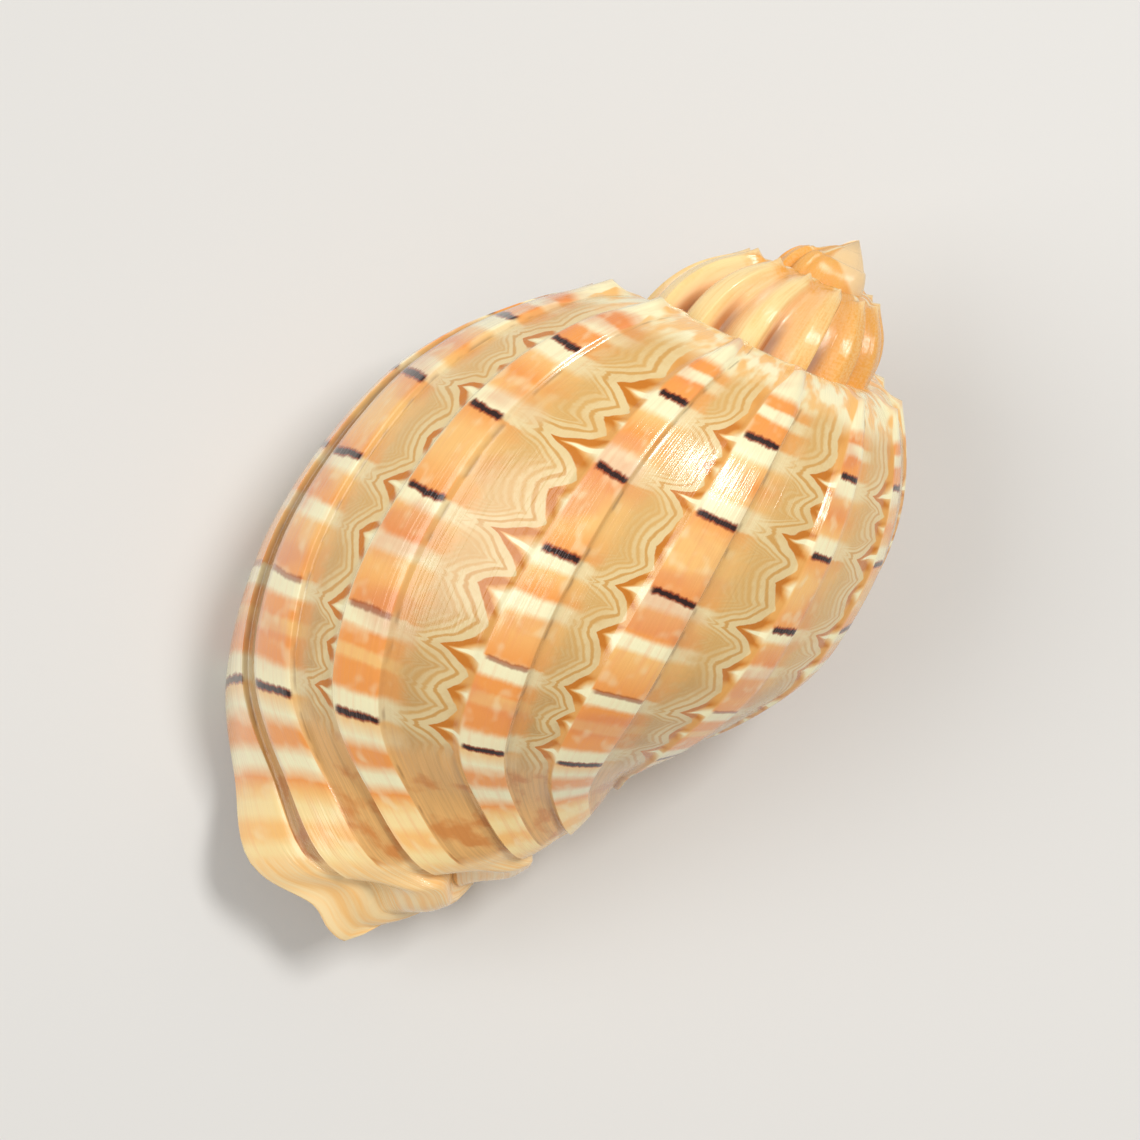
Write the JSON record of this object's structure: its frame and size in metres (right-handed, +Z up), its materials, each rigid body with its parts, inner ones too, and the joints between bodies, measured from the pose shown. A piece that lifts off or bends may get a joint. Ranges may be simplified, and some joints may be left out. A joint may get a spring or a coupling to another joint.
{
  "type": "harp shell",
  "caption": "Empty harp sea-snail shell with curved ribs, a low pointed spire and a wide open mouth, lying mouth down.",
  "frame": {"origin": "centre of the bounding box's bottom, on the surface that the shell rests on", "axes": "+Z up from the mouth to the shell's back; +Y towards the pointed spire, along the longest extent; the outer lip of the mouth is on the -X side"},
  "size_m": [0.0422, 0.0656, 0.0309],
  "materials": {
    "shell": "gloss"
  },
  "bodies": {
    "root": {"shell": "shell"}
  },
  "joints": []
}
